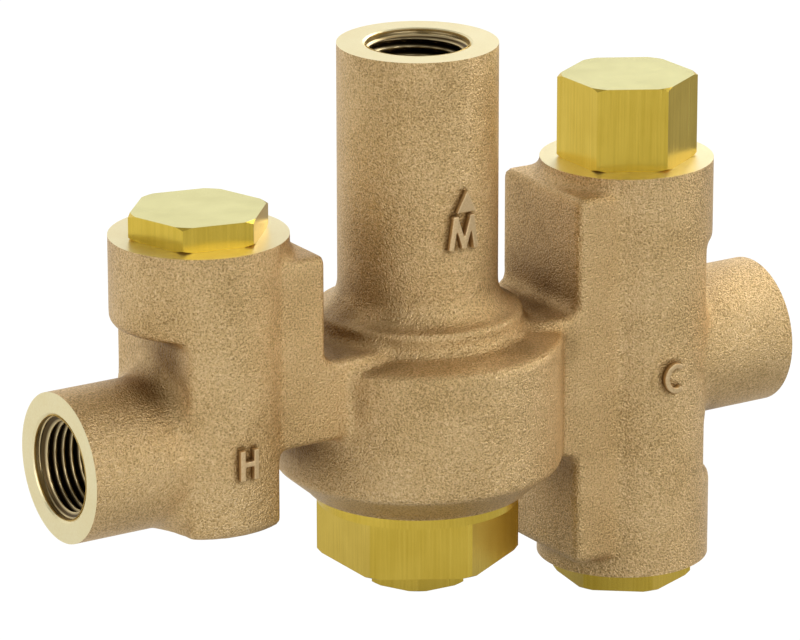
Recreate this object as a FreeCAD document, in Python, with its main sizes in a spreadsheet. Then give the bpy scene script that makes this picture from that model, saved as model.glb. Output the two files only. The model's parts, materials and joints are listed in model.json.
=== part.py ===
import FreeCAD, Part
import math
import os
import re
import Sketcher

# Mixing valve for hot and cold water: a cast body with two inlet columns, a mixing
# chamber and an outlet tube, and the working parts that its caps and bonnet close in.
# Sizes are in millimetres. Heights are worked out from the centreline of the two inlets,
# and every piece is then lowered by outlet_height, so that the origin is the middle of the
# outlet's end face. +X runs from the hot inlet to the cold inlet, and +Z out of the outlet.

doc = FreeCAD.newDocument("MixingValve")
sheet = doc.addObject("Spreadsheet::Sheet", "Sizes")

SIZES = {
    # outlet tube, collar and mixing chamber
    "outlet_height": 75.4,
    "tube_radius": 16.5,
    "collar_radius": 21.6,
    "collar_top": 19.9,
    "collar_foot": 15.5,
    "chamber_radius": 29.9,
    "chamber_rim": 13.4,
    "chamber_wall_end": -12.6,
    "knuckle_radius": 28.6,
    "knuckle_level": -15.6,
    "underside_radius": 22.6,
    "underside_level": -19.1,
    "rim_round": 2.0,
    "cast_round": 1.4,
    # columns and inlet bosses
    "column_offset": 51.6,
    "column_radius": 18.2,
    "column_top": 43.5,
    "hot_column_foot": -15.6,
    "cold_column_foot": -43.7,
    "hot_foot_round": 2.0,
    "cold_foot_round": 0.8,
    "boss_radius": 15.4,
    "boss_reach": 84.2,
    "relief_offset": 10.8,
    "relief_level": 25.5,
    "relief_round": 1.5,
    "boss_blend": 4.0,
    "inner_relief_offset": 9.2,
    # blocks beside the columns and the arms that reach the chamber
    "hot_block_reach": 20.5,
    "hot_block_half": 15.4,
    "hot_block_top": 39.3,
    "hot_arm_top": 16.7,
    "hot_arm_foot": -0.2,
    "cold_block_reach": 21.5,
    "cold_block_half": 14.6,
    "cold_block_top": 40.6,
    "cold_block_foot": -39.1,
    "cold_arm_top": 15.9,
    "cold_arm_foot": -15.0,
    # threaded ports
    "port_thread_radius": 10.6,
    "port_thread_length": 16.0,
    "port_mouth_radius": 11.25,
    "port_mouth_depth": 0.45,
    "port_bore_radius": 9.0,
    # check valve chambers
    "throat_radius": 8.0,
    "inlet_bore_past_axis": 6.0,
    "seat_level": 15.0,
    "seat_height": 4.0,
    "seat_radius": 8.2,
    "seat_bore_radius": 5.6,
    "seat_lip_height": 0.8,
    "seat_lip_radius": 6.2,
    "check_chamber_radius": 8.8,
    "cap_thread_radius": 11.15,
    "cap_thread_length": 9.5,
    "oring_pocket_radius": 12.3,
    "oring_pocket_depth": 2.6,
    "oring_section": 1.2,
    # caps and plug
    "cap_across_flats": 25.4,
    "hot_cap_height": 5.2,
    "bypass_cap_height": 17.7,
    "cold_plug_height": 5.1,
    "hot_cap_angle": -12.1,
    "bypass_cap_angle": -29.3,
    "cold_plug_angle": -37.9,
    "cap_crown": 4.2,
    "cap_cavity_radius": 7.2,
    "hex_chamfer": 0.9,
    "guide_post_radius": 4.2,
    "guide_post_length": 8.0,
    # poppets, facings and springs
    "poppet_radius": 7.4,
    "poppet_skirt": 0.5,
    "poppet_plate": 1.8,
    "poppet_stem_radius": 2.6,
    "stem_engagement": 3.0,
    "facing_thickness": 1.5,
    "facing_hole_radius": 1.95,
    "stake_radius": 3.0,
    "check_spring_radius": 5.6,
    "check_spring_wire": 0.6,
    "check_spring_turns": 5.0,
    "bypass_spring_turns": 7.0,
    # water ways
    "cored_half_width": 8.0,
    "hot_way_inner": 35.0,
    "cold_way_inner": 33.9,
    "way_depth": 5.6,
    "check_window_top": 33.0,
    "hot_way_level": 2.0,
    "bypass_way_level": 10.3,
    "bypass_way_roof": 13.3,
    "bypass_way_half": 4.5,
    # mixing chamber
    "annulus_radius": 24.0,
    "cold_annulus_floor": -11.0,
    "land_foot": -3.9,
    "land_top": 0.9,
    "land_radius": 14.2,
    "hot_seat_level": 8.0,
    "mixing_radius": 12.2,
    "spring_shoulder": 22.0,
    "upper_bore_radius": 10.2,
    "upper_bore_gap": 5.2,
    # bonnet
    "bonnet_across_flats": 36.3,
    "bonnet_angle": 30.0,
    "bonnet_foot": -33.7,
    "bonnet_flange_foot": -21.8,
    "bonnet_flange_radius": 21.1,
    "gasket_thickness": 0.6,
    "gasket_inner_radius": 17.5,
    "bonnet_thread_radius": 17.25,
    "bonnet_thread_end": -11.3,
    "cold_seat_level": -9.5,
    "cold_seat_radius": 14.6,
    "cold_seat_bore": 12.5,
    "cold_seat_depth": 3.0,
    "guide_across_flats": 16.0,
    "guide_floor": -24.7,
    "gland_foot": -30.2,
    "cover_pocket_radius": 7.55,
    "cover_foot": -39.4,
    "cover_across_flats": 19.0,
    "cover_angle": -2.4,
    "cover_thread_length": 2.1,
    "cover_floor": 1.3,
    # adjusting stem
    "stem_radius": 4.0,
    "stem_end_radius": 3.6,
    "stem_end": -37.0,
    "stem_thread_radius": 3.5,
    "stem_top": -17.0,
    "stem_collar_radius": 6.3,
    "stem_collar_height": 1.3,
    "stem_oring_section": 0.6,
    "stem_groove_radius": 2.75,
    "stem_ring_radius": 6.2,
    "stem_ring_groove": 3.1,
    "ring_thickness": 0.7,
    # carrier and overtravel unit
    "carrier_foot": -22.0,
    "carrier_nut_height": 4.5,
    "carrier_top": -7.3,
    "carrier_cup_radius": 6.8,
    "plunger_top": -8.5,
    "plunger_plate": 1.4,
    "plunger_button": 0.7,
    "plunger_button_radius": 4.8,
    "plunger_ring_radius": 7.3,
    "overtravel_spring_radius": 5.2,
    "overtravel_spring_wire": 0.6,
    "overtravel_spring_turns": 3.0,
    # element and shuttle
    "rod_radius": 1.6,
    "rod_top": 5.0,
    "element_bore_top": 9.0,
    "element_foot": -5.0,
    "element_guide_radius": 3.6,
    "element_neck_radius": 4.5,
    "element_flange_radius": 6.0,
    "element_flange_height": 2.5,
    "element_cup_radius": 5.6,
    "element_cup_height": 28.0,
    "element_dome": 2.6,
    "clip_groove_radius": 3.05,
    "clip_radius": 6.0,
    "clip_thickness": 1.0,
    "shuttle_foot": -8.0,
    "shuttle_top": 6.5,
    "shuttle_bore": 11.9,
    "web_half_height": 2.0,
    "web_hole_radius": 2.1,
    "web_hole_circle": 8.5,
    "shuttle_groove_radius": 12.7,
    "shuttle_oring_section": 0.7,
    "return_spring_radius": 11.0,
    "return_spring_wire": 0.65,
    "return_spring_turns": 4.0,
    "stake_height": 0.7,
    "slot_width": 1.2,
    "slot_depth": 1.5,
    "ring_gap": 2.0,
    # clearances
    "contact_gap": 0.02,
    "thread_gap": 0.05,
    "running_gap": 0.05,
    "sliding_gap": 0.1,
    "seal_gap": 0.1,
}

for row, (alias, value) in enumerate(SIZES.items(), start=1):
    sheet.set("A%d" % row, alias)
    sheet.set("B%d" % row, "%g" % value)
    sheet.setAlias("B%d" % row, alias)
workings = doc.addObject("Spreadsheet::Sheet", "Workings")
doc.recompute()

X_AXIS = FreeCAD.Vector(1, 0, 0)
Y_AXIS = FreeCAD.Vector(0, 1, 0)
Z_AXIS = FreeCAD.Vector(0, 0, 1)
UPRIGHT = FreeCAD.Rotation()
INVERTED = FreeCAD.Rotation(X_AXIS, 180)
ALONG_X = FreeCAD.Rotation(Y_AXIS, 90)
AGAINST_X = FreeCAD.Rotation(Y_AXIS, -90)


def linked(text):
    """Gives each size named in a formula its sheet, as in Sizes.column_radius."""
    return re.sub("[a-z_]+", lambda word: in_sheet(word.group()), str(text))


def in_sheet(word):
    return "Sizes." + word if word in SIZES else word


def bind(thing, prop, text):
    thing.setExpression(prop, linked(text))


def place(thing, x=0, z=0, turn=UPRIGHT, y=0):
    """Turns a piece and binds its base point to formulae."""
    thing.Placement = FreeCAD.Placement(FreeCAD.Vector(), turn)
    for axis, text in (("x", x), ("y", y), ("z", z)):
        if text != 0:
            bind(thing, "Placement.Base." + axis, text)
    return thing


def origin_plane(body, role):
    return [item for item in body.Origin.OriginFeatures if item.Role == role][0]


def outline(body, name, points, plane="XZ_Plane"):
    """Draws a closed outline whose corners are formulae in the sheet's sizes."""
    sketch = body.newObject("Sketcher::SketchObject", name)
    sketch.AttachmentSupport = [(origin_plane(body, plane), "")]
    sketch.MapMode = "FlatFace"
    corners = [FreeCAD.Vector(sketch_value(x), sketch_value(y), 0) for x, y in points]
    count = len(corners)
    for index in range(count):
        sketch.addGeometry(Part.LineSegment(corners[index], corners[(index + 1) % count]), False)
    for index in range(count):
        sketch.addConstraint(Sketcher.Constraint("Coincident", index, 2, (index + 1) % count, 1))
    for index, (x, y) in enumerate(points):
        pin(sketch, index, "DistanceX", x, -2)
        pin(sketch, index, "DistanceY", y, -1)
    return sketch


def sketch_value(text):
    """Works out a formula in a cell of a sheet kept for workings."""
    workings.set("A1", "=" + linked(text))
    workings.recompute()
    return float(workings.get("A1"))


def pin(sketch, index, kind, text, axis):
    """Holds the start of one line at a formula, or on the axis where the formula is 0."""
    if text == 0:
        sketch.addConstraint(Sketcher.Constraint("PointOnObject", index, 1, axis))
        return
    number = sketch.addConstraint(Sketcher.Constraint(kind, -1, 1, index, 1, sketch_value(text)))
    bind(sketch, "Constraints[%d]" % number, text)


def turned(name, points, x=0, z=0, turn=UPRIGHT):
    """A piece of turned work: its half section, as radius and height, swept about Z."""
    body = doc.addObject("PartDesign::Body", name)
    sketch = outline(body, name + "_section", points)
    sweep = body.newObject("PartDesign::Revolution", name + "_turning")
    sweep.Profile = sketch
    sweep.ReferenceAxis = (sketch, ["V_Axis"])
    sweep.Angle = 360
    place(body, x, z, turn)
    doc.recompute()
    return body


def round_corners(body, corners, size):
    """Rounds the circular edges that the numbered corners of the section have swept."""
    turning = body.Tip
    section = [item for item in body.Group if item.isDerivedFrom("Sketcher::SketchObject")][0]
    spots = [section.getPoint(corner, 1) for corner in corners]
    names = []
    for number, edge in enumerate(turning.Shape.Edges, start=1):
        if edge.Curve.TypeId != "Part::GeomCircle":
            continue
        for spot in spots:
            near_radius = abs(edge.Curve.Radius - spot.x) < 1e-4
            near_height = abs(edge.Curve.Center.z - spot.y) < 1e-4
            if near_radius and near_height:
                names.append("Edge%d" % number)
    fillet = body.newObject("PartDesign::Fillet", body.Name + "_round" + str(corners[0]))
    fillet.Base = (turning, sorted(set(names)))
    bind(fillet, "Radius", size)
    doc.recompute()
    return body


def cylinder(name, radius, height, x=0, z=0, turn=UPRIGHT, y=0):
    rod = doc.addObject("Part::Cylinder", name)
    bind(rod, "Radius", radius)
    bind(rod, "Height", height)
    return place(rod, x, z, turn, y)


def box(name, x_from, x_to, half_width, z_from, z_to):
    """A block that lies evenly about the XZ plane, between two X and two Z formulae."""
    block = doc.addObject("Part::Box", name)
    bind(block, "Length", "( %s ) - ( %s )" % (x_to, x_from))
    bind(block, "Width", "2 * ( %s )" % half_width)
    bind(block, "Height", "( %s ) - ( %s )" % (z_to, z_from))
    place(block, x_from, z_from)
    bind(block, "Placement.Base.y", "-1 * ( %s )" % half_width)
    return block


def ring(name, radius, section, x=0, z=0):
    """A round sealing ring, by its middle radius and the radius of its section."""
    torus = doc.addObject("Part::Torus", name)
    bind(torus, "Radius1", radius)
    bind(torus, "Radius2", section)
    return place(torus, x, z)


def hexagon(name, across_flats, height, angle, x=0, z=0):
    prism = doc.addObject("Part::Prism", name)
    prism.Polygon = 6
    bind(prism, "Circumradius", "( %s ) / sqrt(3)" % across_flats)
    bind(prism, "Height", height)
    return place(prism, x, z, FreeCAD.Rotation(Z_AXIS, SIZES[angle]))


def joined(name, pieces):
    fuse = doc.addObject("Part::MultiFuse", name)
    fuse.Shapes = pieces
    fuse.Refine = False
    doc.recompute()
    return fuse


def cut(name, base, tool):
    difference = doc.addObject("Part::Cut", name)
    difference.Base = base
    difference.Tool = tool
    difference.Refine = False
    doc.recompute()
    return difference


def common(name, first, second):
    overlap = doc.addObject("Part::MultiCommon", name)
    overlap.Shapes = [first, second]
    overlap.Refine = False
    doc.recompute()
    return overlap


def rounded(name, base, choose, size):
    """Rounds the edges of a solid that a test picks out."""
    doc.recompute()
    radius = sketch_value(size)
    fillet = doc.addObject("Part::Fillet", name)
    fillet.Base = base
    fillet.Edges = [(number, radius, radius)
                    for number, edge in enumerate(base.Shape.Edges, start=1) if choose(edge)]
    doc.recompute()
    return fillet


def finished(piece, label):
    """Lowers a finished piece into the outlet's frame, and names it."""
    piece.Label = label
    z = piece.Placement.Base.z
    bound = dict((path.lstrip("."), text) for path, text in piece.ExpressionEngine)
    height = bound.get("Placement.Base.z", "%g" % z)
    piece.setExpression("Placement.Base.z", "%s - Sizes.outlet_height" % height)
    FINISHED.append(piece)
    return piece


FINISHED = []
COIL_RUNS = 16
WIRE_SIDES = 8


def mid(edge):
    """The middle of an edge."""
    return edge.valueAt((edge.FirstParameter + edge.LastParameter) / 2)


def spring(label, radius, wire, bottom, top, turns, x=0):
    """A coil spring between two levels, lofted through sections of its wire up a helix.

    The wire has flat sides and short straight runs, which keeps its mesh small and closed."""
    coil_radius = sketch_value(radius)
    wire_radius = sketch_value(wire)
    low = sketch_value(bottom) + wire_radius + SIZES["running_gap"]
    high = sketch_value(top) - wire_radius - SIZES["running_gap"]
    runs = int(SIZES[turns] * COIL_RUNS)
    sections = []
    for step in range(runs + 1):
        swing = 2 * math.pi * step / COIL_RUNS
        climb = (high - low) * step / runs
        corners = []
        for side in range(WIRE_SIDES):
            around = 2 * math.pi * side / WIRE_SIDES
            reach = coil_radius + wire_radius * math.cos(around)
            corners.append(FreeCAD.Vector(reach * math.cos(swing), reach * math.sin(swing),
                                          climb + wire_radius * math.sin(around)))
        sections.append(Part.makePolygon(corners + corners[:1]))
    coil = doc.addObject("Part::Feature", label)
    coil.Shape = Part.makeLoft(sections, True, True)
    coil.Placement = FreeCAD.Placement(FreeCAD.Vector(sketch_value(x), 0, low), UPRIGHT)
    return finished(coil, label)


# The casting's outside: the chamber with its collar and tube, turned as one.
spine = turned("spine", [
    (0, "underside_level"),
    ("underside_radius", "underside_level"),
    ("knuckle_radius", "knuckle_level"),
    ("chamber_radius", "chamber_wall_end"),
    ("chamber_radius", "chamber_rim"),
    ("collar_radius", "collar_foot"),
    ("collar_radius", "collar_top"),
    ("tube_radius", "collar_top + 0.8"),
    ("tube_radius", "outlet_height"),
    (0, "outlet_height"),
])
round_corners(spine, [4, 6, 7], "rim_round")
round_corners(spine, [2, 3, 5], "cast_round")


def column(side, x, foot, foot_round):
    """One inlet column, with the flat relief that runs above and below its boss."""
    barrel = turned(side + "_barrel", [
        (0, foot), ("column_radius", foot), ("column_radius", "column_top"), (0, "column_top"),
    ], x)
    round_corners(barrel, [1], foot_round)
    beyond = "boss_reach - relief_offset"
    if side == "hot":
        relief = box(side + "_relief", "-1 * column_offset - " + beyond,
                     "-1 * column_offset - relief_offset", "column_radius",
                     "-1 * relief_level", "relief_level")
    else:
        relief = box(side + "_relief", "column_offset + relief_offset",
                     "column_offset + " + beyond, "column_radius",
                     "-1 * relief_level", "relief_level")
    return cut(side + "_relieved", barrel, relief)


hot_column = column("hot", "-1 * column_offset", "hot_column_foot", "hot_foot_round")
hot_column = cut("hot_flanked", hot_column, box(
    "hot_inner_relief", "inner_relief_offset - column_offset", "0", "column_radius",
    "hot_column_foot - 1", "hot_arm_foot"))
cold_column = column("cold", "column_offset", "cold_column_foot", "cold_foot_round")


def limb(side, points, half_width):
    """The block beside a column and its arm, one outline padded both ways along Y."""
    body = doc.addObject("PartDesign::Body", side + "_limb")
    pad = body.newObject("PartDesign::Pad", side + "_limb_pad")
    pad.Profile = outline(body, side + "_limb_outline", points)
    pad.Midplane = True
    bind(pad, "Length", "2 * ( %s )" % half_width)
    doc.recompute()
    names = []
    for number, edge in enumerate(pad.Shape.Edges, start=1):
        if SIZES["mixing_radius"] + 1 < abs(mid(edge).x) < SIZES["column_offset"] - 1:
            names.append("Edge%d" % number)
    fillet = body.newObject("PartDesign::Fillet", side + "_limb_round")
    fillet.Base = (pad, names)
    bind(fillet, "Radius", "cast_round")
    doc.recompute()
    return body


hot_inner_face = "hot_block_reach - column_offset"
hot_limb = limb("hot", [
    ("-1 * column_offset", "hot_arm_foot"), ("-1 * mixing_radius", "hot_arm_foot"),
    ("-1 * mixing_radius", "hot_arm_top"), (hot_inner_face, "hot_arm_top"),
    (hot_inner_face, "hot_block_top"), ("-1 * column_offset", "hot_block_top"),
], "hot_block_half")

cold_inner_face = "column_offset - cold_block_reach"
cold_limb = limb("cold", [
    ("column_offset", "cold_block_top"), (cold_inner_face, "cold_block_top"),
    (cold_inner_face, "cold_arm_top"), ("mixing_radius", "cold_arm_top"),
    ("mixing_radius", "cold_arm_foot"), (cold_inner_face, "cold_arm_foot"),
    (cold_inner_face, "cold_block_foot"), ("column_offset", "cold_block_foot"),
], "cold_block_half")

boss_length = "boss_reach - column_offset"
boss_root = "boss_radius + boss_blend + cast_round"


def boss(side, x, turn):
    """A boss, with a trumpet foot that goes no further out than the column's own barrel."""
    trumpet_length = "relief_offset + boss_blend + cast_round"
    trumpet = turned(side + "_trumpet", [
        (0, 0), (boss_root, 0), (boss_root, "relief_offset"), ("boss_radius", "relief_offset"),
        ("boss_radius", trumpet_length), (0, trumpet_length),
    ], x, 0, turn)
    round_corners(trumpet, [3], "boss_blend")
    barrel = cylinder(side + "_boss_bound", "column_radius", "2 * ( %s )" % boss_root,
                      x, "-1 * ( %s )" % boss_root)
    return [cylinder(side + "_boss", "boss_radius", boss_length, x, 0, turn),
            common(side + "_boss_foot", trumpet, barrel)]


casting = joined("casting_outside", [
    spine, hot_column, hot_limb, *boss("hot", "-1 * column_offset", AGAINST_X),
    cold_column, cold_limb, *boss("cold", "column_offset", ALONG_X)])


def is_ledge(edge):
    """The rim of the ledge that ends each relief."""
    middle = mid(edge)
    foot = SIZES["column_offset"] + SIZES["relief_offset"]
    return abs(abs(middle.z) - SIZES["relief_level"]) < 0.01 and abs(middle.x) > foot + 0.1


casting = rounded("casting_rounded", casting, is_ledge, "relief_round")


def port(name, length, x, z, turn):
    """The space of a threaded port and the bore behind it, from its mouth inwards."""
    return turned(name, [
        (0, "-1 * port_mouth_depth"), ("port_mouth_radius", "-1 * port_mouth_depth"),
        ("port_mouth_radius", 0), ("port_thread_radius", "port_mouth_depth"),
        ("port_thread_radius", "port_thread_length"), ("port_bore_radius", "port_thread_length"),
        ("port_bore_radius", length), (0, length),
    ], x, z, turn)


inlet_length = "boss_reach - column_offset + inlet_bore_past_axis"
outlet_length = "port_thread_length + upper_bore_gap"


def check_core(name, x, face, turn):
    """The space of a throat, seat pocket, valve chamber and cap thread, from the inlet out."""
    thread_end = face + " - cap_thread_length - oring_section"
    pocket = "seat_radius + running_gap"
    seat_top = "seat_level + seat_height"
    pocket_floor = face + " - oring_pocket_depth"
    return turned(name, [
        (0, 0), ("throat_radius", 0), ("throat_radius", "seat_level"), (pocket, "seat_level"),
        (pocket, seat_top), ("check_chamber_radius", seat_top),
        ("check_chamber_radius", thread_end), ("cap_thread_radius", thread_end),
        ("cap_thread_radius", pocket_floor), ("oring_pocket_radius", pocket_floor),
        ("oring_pocket_radius", face + " + oring_section"), (0, face + " + oring_section"),
    ], x, 0, turn)


HOT_X = "-1 * column_offset"
COLD_X = "column_offset"
UPPER_FACE = "column_top"
LOWER_FACE = "( -1 * cold_column_foot )"
seat_pocket = "bonnet_thread_radius"
outlet_bore_foot = "outlet_height - port_thread_length - upper_bore_gap"

chamber_core = turned("chamber_core", [
    (0, "underside_level - gasket_thickness"), (seat_pocket, "underside_level - gasket_thickness"),
    (seat_pocket, "cold_annulus_floor"), ("annulus_radius", "cold_annulus_floor"),
    ("annulus_radius", "land_foot"), ("land_radius", "land_foot"),
    ("land_radius", "land_top"), ("annulus_radius", "land_top"),
    ("annulus_radius", "hot_seat_level"), ("mixing_radius", "hot_seat_level"),
    ("mixing_radius", "spring_shoulder"), ("upper_bore_radius", "spring_shoulder"),
    ("upper_bore_radius", outlet_bore_foot), (0, outlet_bore_foot),
])

into_annulus = "annulus_radius - cast_round * 2"
window_mouth = "column_offset - check_chamber_radius / 2"
cores = joined("cores", [
    chamber_core,
    port("outlet_port", outlet_length, 0, "outlet_height", INVERTED),
    port("hot_port", inlet_length, "-1 * boss_reach", 0, ALONG_X),
    port("cold_port", inlet_length, "boss_reach", 0, AGAINST_X),
    check_core("hot_check_core", HOT_X, UPPER_FACE, UPRIGHT),
    check_core("bypass_core", COLD_X, UPPER_FACE, UPRIGHT),
    check_core("cold_check_core", COLD_X, LOWER_FACE, INVERTED),
    box("hot_way", "-1 * hot_way_inner - way_depth", "-1 * hot_way_inner",
        "cored_half_width", "hot_way_level", "check_window_top"),
    box("hot_window", "-1 * ( %s )" % window_mouth, "-1 * hot_way_inner - way_depth / 2",
        "cored_half_width", "seat_level + seat_height", "check_window_top"),
    box("hot_arm_way", "-1 * hot_way_inner - way_depth / 2", "-1 * ( %s )" % into_annulus,
        "cored_half_width", "hot_way_level", "hot_seat_level"),
    box("bypass_way", "cold_way_inner", "cold_way_inner + way_depth",
        "cored_half_width", "bypass_way_level", "check_window_top"),
    box("bypass_window", "cold_way_inner + way_depth / 2", window_mouth,
        "cored_half_width", "seat_level + seat_height", "check_window_top"),
    box("bypass_arm_way", "mixing_radius - cast_round", "cold_way_inner + way_depth / 2",
        "bypass_way_half", "bypass_way_level", "bypass_way_roof"),
    box("cold_way", "cold_way_inner", "cold_way_inner + way_depth",
        "cored_half_width", "-1 * check_window_top", "land_foot"),
    box("cold_window", "cold_way_inner + way_depth / 2", window_mouth,
        "cored_half_width", "-1 * check_window_top", "-1 * ( seat_level + seat_height )"),
    box("cold_arm_way", into_annulus, "cold_way_inner + way_depth / 2",
        "cored_half_width", "cold_annulus_floor", "land_foot"),
])
finished(cut("valve_body", casting, cores), "valve_body")


def hexagon_head(name, across_flats, height, angle, x, z, chamfered_foot=True, chamfered_top=True):
    """A hexagon whose corners are turned off at one end or both."""
    corner = "( %s ) / sqrt(3)" % across_flats
    inner = corner + " - hex_chamfer"
    outer = corner + " + hex_chamfer"
    drop = "hex_chamfer * 1.15"
    profile = [(0, 0), (inner if chamfered_foot else outer, 0)]
    if chamfered_foot:
        profile.append((outer, drop))
    if chamfered_top:
        profile.append((outer, "( %s ) - %s" % (height, drop)))
    profile += [(inner if chamfered_top else outer, height), (0, height)]
    blank = turned(name + "_blank", profile, x, z)
    return common(name, hexagon(name + "_bar", across_flats, height, angle, x, z), blank)


def signed(sign, text):
    return text if sign > 0 else "-1 * ( %s )" % text


def check_set(kind, cap_label, x, face, head_height, head_angle, spring_turns, sign):
    """A cap or plug with its seal, and the seat, poppet, facing and spring behind it.

    Levels are measured outwards from the inlet's centreline, up or down by the sign."""
    turn = UPRIGHT if sign > 0 else INVERTED
    ceiling = "( %s + %s - cap_crown )" % (face, head_height)
    post_foot = ceiling + " - guide_post_length"
    shank_end = face + " - cap_thread_length"
    pocket_floor = face + " - oring_pocket_depth"
    male = "cap_thread_radius - thread_gap"
    groove = "oring_pocket_radius - 2 * oring_section - 2 * seal_gap"
    into_head = face + " + %s / 4" % head_height
    seat_top = "seat_level + seat_height"
    lip = seat_top + " + seat_lip_height"
    facing_foot = lip + " + contact_gap"
    facing_top = facing_foot + " + facing_thickness"
    plate_top = facing_top + " + poppet_plate"

    head_foot = face if sign > 0 else "-1 * %s - %s" % (face, head_height)
    head = hexagon_head(kind + "_head", "cap_across_flats", head_height, head_angle, x, head_foot)
    shank = turned(kind + "_shank", [
        (0, shank_end), (male, shank_end), (male, pocket_floor),
        (groove, pocket_floor), (groove, into_head), (0, into_head)], x, 0, turn)
    hollow = turned(kind + "_hollow", [
        (0, shank_end + " - oring_section"), ("cap_cavity_radius", shank_end + " - oring_section"),
        ("cap_cavity_radius", ceiling), ("guide_post_radius", ceiling),
        ("guide_post_radius", post_foot), ("poppet_stem_radius + running_gap", post_foot),
        ("poppet_stem_radius + running_gap", ceiling + " + cap_crown / 4"),
        (0, ceiling + " + cap_crown / 4")], x, 0, turn)
    finished(cut(cap_label, joined(kind + "_cap_solid", [head, shank]), hollow), cap_label)

    middle = "oring_pocket_radius - seal_gap - oring_section"
    finished(ring(kind + "_oring", middle, "oring_section", x,
                  signed(sign, face + " - oring_pocket_depth / 2")), kind + "_oring")

    finished(turned(kind + "_seat", [
        ("seat_bore_radius", "seat_level"), ("seat_radius", "seat_level"),
        ("seat_radius", seat_top), ("seat_lip_radius + seat_lip_height / 2", seat_top),
        ("seat_lip_radius", lip), ("seat_lip_radius - seat_lip_height / 2", lip),
        ("seat_bore_radius", seat_top)], x, 0, turn), kind + "_seat")

    skirt_bore = "poppet_radius - poppet_skirt"
    spring_hub = "check_spring_radius - check_spring_wire - seal_gap"
    finished(turned(kind + "_poppet", [
        (0, facing_foot + " - stake_height"), ("stake_radius", facing_foot + " - stake_height"),
        ("stake_radius", facing_foot), ("facing_hole_radius - running_gap", facing_foot),
        ("facing_hole_radius - running_gap", facing_top), (skirt_bore, facing_top),
        (skirt_bore, facing_top + " - facing_thickness * 2 / 3"),
        ("poppet_radius", facing_top + " - facing_thickness * 2 / 3"),
        ("poppet_radius", plate_top), (spring_hub, plate_top),
        (spring_hub, plate_top + " + stake_height"),
        ("poppet_stem_radius", plate_top + " + stake_height"),
        ("poppet_stem_radius", post_foot + " + stem_engagement"),
        (0, post_foot + " + stem_engagement")], x, 0, turn), kind + "_poppet")
    finished(turned(kind + "_disc", [
        ("facing_hole_radius", facing_foot), (skirt_bore + " - running_gap", facing_foot),
        (skirt_bore + " - running_gap", facing_top), ("facing_hole_radius", facing_top),
    ], x, 0, turn), kind + "_disc")

    ends = (plate_top, ceiling) if sign > 0 else (signed(-1, ceiling), signed(-1, plate_top))
    spring(kind + "_spring", "check_spring_radius", "check_spring_wire", ends[0], ends[1],
           spring_turns, x)


check_set("hot_check", "hot_check_cap", HOT_X, UPPER_FACE, "hot_cap_height",
          "hot_cap_angle", "check_spring_turns", 1)
check_set("bypass", "bypass_cap", COLD_X, UPPER_FACE, "bypass_cap_height",
          "bypass_cap_angle", "bypass_spring_turns", 1)
check_set("cold_check", "cold_check_plug", COLD_X, LOWER_FACE, "cold_plug_height",
          "cold_plug_angle", "check_spring_turns", -1)


# The bonnet: hexagon, round flange, thread and the seat that meters the cold water.
flange_top = "underside_level - gasket_thickness"
male_bonnet = "bonnet_thread_radius - thread_gap"
guide_top = "cold_seat_level - cold_seat_depth"
bonnet_head = hexagon_head(
    "bonnet_head", "bonnet_across_flats", "bonnet_flange_foot - bonnet_foot", "bonnet_angle",
    0, "bonnet_foot", chamfered_top=False)
bonnet_turning = turned("bonnet_turning", [
    (0, "bonnet_flange_foot - hex_chamfer"),
    ("bonnet_thread_radius", "bonnet_flange_foot - hex_chamfer"),
    ("bonnet_thread_radius", "bonnet_flange_foot"), ("bonnet_flange_radius", "bonnet_flange_foot"),
    ("bonnet_flange_radius", flange_top), (male_bonnet, flange_top),
    (male_bonnet, "bonnet_thread_end"), ("cold_seat_radius", "bonnet_thread_end"),
    ("cold_seat_radius", "cold_seat_level"), (0, "cold_seat_level"),
])
bonnet_bore = turned("bonnet_bore", [
    (0, "bonnet_foot - cover_floor"), ("cover_pocket_radius", "bonnet_foot - cover_floor"),
    ("cover_pocket_radius", "gland_foot"), ("stem_radius + running_gap", "gland_foot"),
    ("stem_radius + running_gap", guide_top), ("cold_seat_bore", guide_top),
    ("cold_seat_bore", "cold_seat_level + cover_floor"), (0, "cold_seat_level + cover_floor"),
])
bonnet_guide = hexagon("bonnet_guide", "guide_across_flats + 2 * sliding_gap",
                       guide_top + " - guide_floor + running_gap", "bonnet_angle",
                       0, "guide_floor")
finished(cut("element_bonnet", joined("bonnet_solid", [bonnet_head, bonnet_turning]),
             joined("bonnet_space", [bonnet_bore, bonnet_guide])), "element_bonnet")
finished(turned("bonnet_gasket", [
    ("gasket_inner_radius", flange_top), ("bonnet_flange_radius", flange_top),
    ("bonnet_flange_radius", "underside_level"), ("gasket_inner_radius", "underside_level"),
]), "bonnet_gasket")

# The cover cap over the end of the adjusting stem.
cover_top = "bonnet_foot + cover_thread_length"
cover_bore = "stem_radius + cover_floor"
cover_solid = joined("cover_solid", [
    hexagon_head("cover_head", "cover_across_flats", "bonnet_foot - cover_foot", "cover_angle",
                 0, "cover_foot", chamfered_top=False),
    cylinder("cover_stub", "cover_pocket_radius - thread_gap",
             "cover_thread_length + cover_floor", 0, "bonnet_foot - cover_floor")])
finished(cut("stem_cover_cap", cover_solid, cylinder(
    "cover_hollow", cover_bore, cover_top + " - cover_foot", 0, "cover_foot + cover_floor")),
    "stem_cover_cap")

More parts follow.
